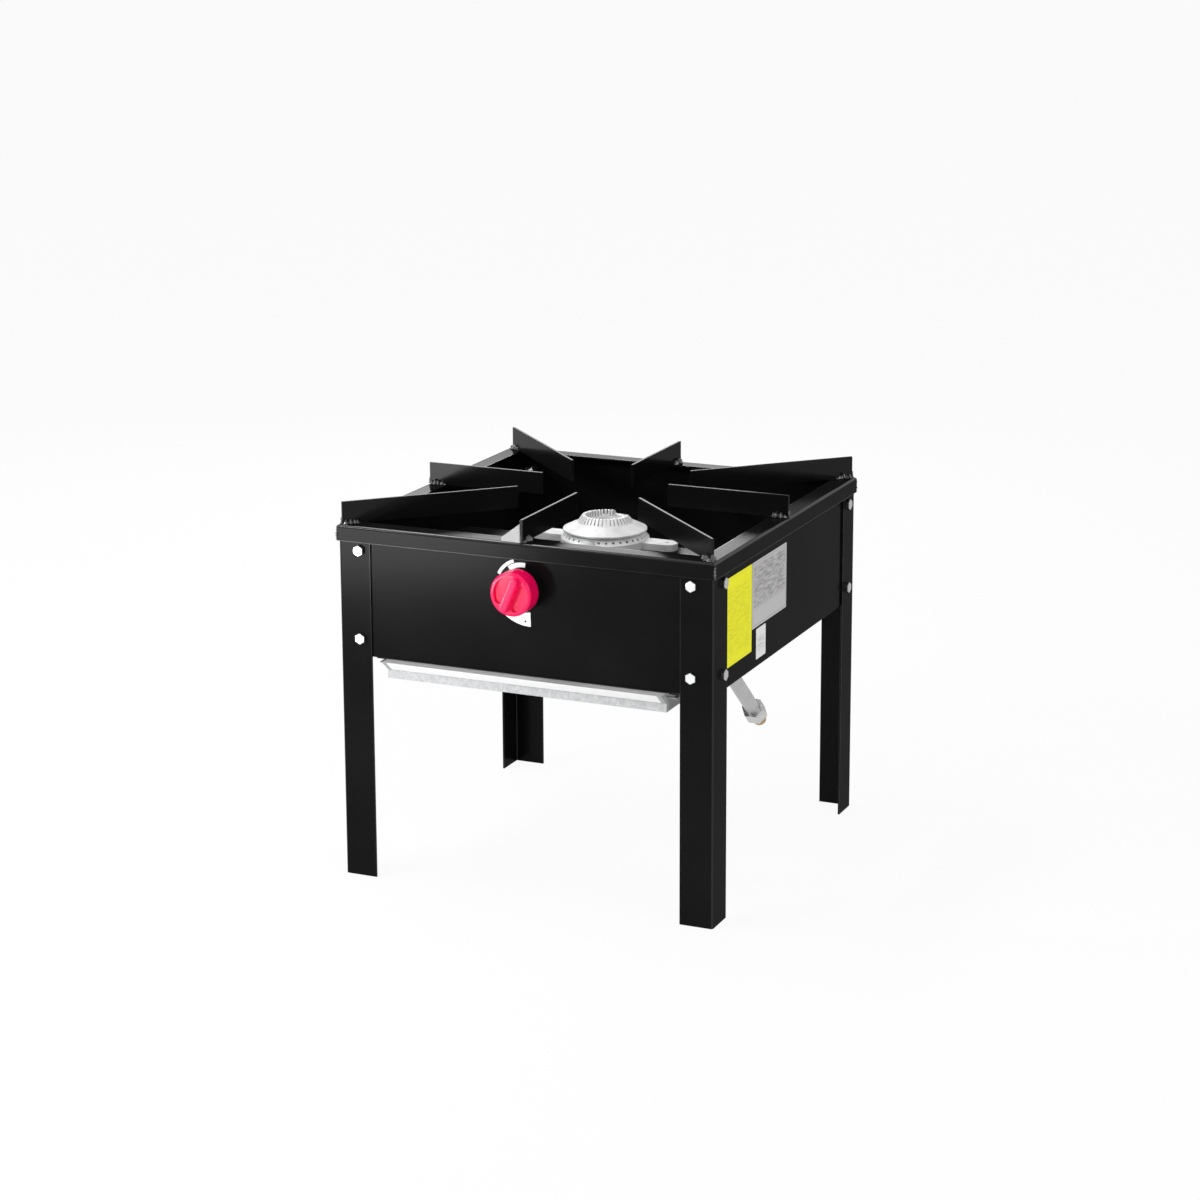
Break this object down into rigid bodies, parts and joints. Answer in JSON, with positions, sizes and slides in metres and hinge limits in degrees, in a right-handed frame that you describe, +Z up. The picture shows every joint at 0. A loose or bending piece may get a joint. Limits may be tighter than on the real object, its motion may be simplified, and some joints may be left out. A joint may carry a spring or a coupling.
{
  "type": "gas stove",
  "caption": "Low square gas stove on angle legs, with upright bars that carry a pot over its burner, a push-and-turn knob, a pull-out drip tray and a gas inlet at the side.",
  "frame": {"origin": "on the floor under the middle of the burner, midway between the four feet", "axes": "+Z up, the knob faces -Y, the gas inlet is on the +X side"},
  "size_m": [0.449, 0.4795, 0.425],
  "materials": {
    "black_paint": "gloss",
    "bare_steel": "satin",
    "zinc_plate": "bright",
    "galvanised": "satin",
    "silver_cast": "matte silver",
    "brass": "satin",
    "stem_steel": "satin",
    "tube_metal": "satin",
    "knob_red": "gloss",
    "white_print": "matte",
    "sticker_yellow": "satin",
    "sticker_grey": "satin",
    "sticker_white": "satin"
  },
  "bodies": {
    "frame": {"leg_front_left": "black_paint", "leg_front_right": "black_paint", "leg_back_right": "black_paint", "leg_back_left": "black_paint", "rim_front": "black_paint", "rim_right": "black_paint", "rim_back": "black_paint", "rim_left": "black_paint", "front_panel": "black_paint", "right_panel": "black_paint", "back_panel": "black_paint", "left_panel": "black_paint", "frame_screws": "zinc_plate", "frame_nuts": "zinc_plate", "grate_bar_front": "black_paint", "grate_bar_right": "black_paint", "grate_bar_back": "black_paint", "grate_bar_left": "black_paint", "grate_bar_front_left": "black_paint", "grate_bar_front_right": "black_paint", "grate_bar_back_right": "black_paint", "grate_bar_back_left": "black_paint", "grate_welds": "black_paint", "front_bar_gusset": "bare_steel", "runner_right": "black_paint", "runner_left": "black_paint", "burner_bowl": "silver_cast", "bracket_right": "black_paint", "bracket_left": "black_paint", "lug_screws": "zinc_plate", "mixer_tube": "silver_cast", "injector": "brass", "valve_body": "brass", "valve_bonnet": "brass", "valve_screws": "zinc_plate", "dial_marks": "white_print", "supply_tube": "tube_metal", "tube_nut": "zinc_plate", "inlet_nut": "zinc_plate", "inlet_fitting": "brass", "sticker_yellow": "sticker_yellow", "sticker_grey": "sticker_grey", "sticker_white": "sticker_white"},
    "tray": {"drip_tray": "galvanised"},
    "cap": {"burner_cap": "silver_cast"},
    "shutter": {"air_shutter": "zinc_plate"},
    "plug": {"valve_plug": "brass"},
    "knob": {"knob": "knob_red", "valve_stem": "stem_steel", "stem_spring": "stem_steel"}
  },
  "joints": [
    {"name": "tray_slide", "type": "slide", "parent": "frame", "child": "tray", "axis": [0, -1, 0], "range_m": [0, 0.3]},
    {"name": "cap_lift", "type": "slide", "parent": "frame", "child": "cap", "axis": [0, 0, 1], "range_m": [0, 0.05]},
    {"name": "shutter_turn", "type": "hinge", "parent": "frame", "child": "shutter", "pos_m": [0, -0.139, 0.35], "axis": [0, 1, 0], "range_deg": [0, 45]},
    {"name": "knob_turn", "type": "hinge", "parent": "frame", "child": "plug", "pos_m": [0, -0.186, 0.35], "axis": [0, -1, 0], "range_deg": [0, 180]},
    {"name": "knob_push", "type": "slide", "parent": "plug", "child": "knob", "axis": [0, 1, 0], "range_m": [0, 0.003], "stiffness_N_per_m": 400, "springref_m": -0.002, "deforming": ["stem_spring"]}
  ]
}
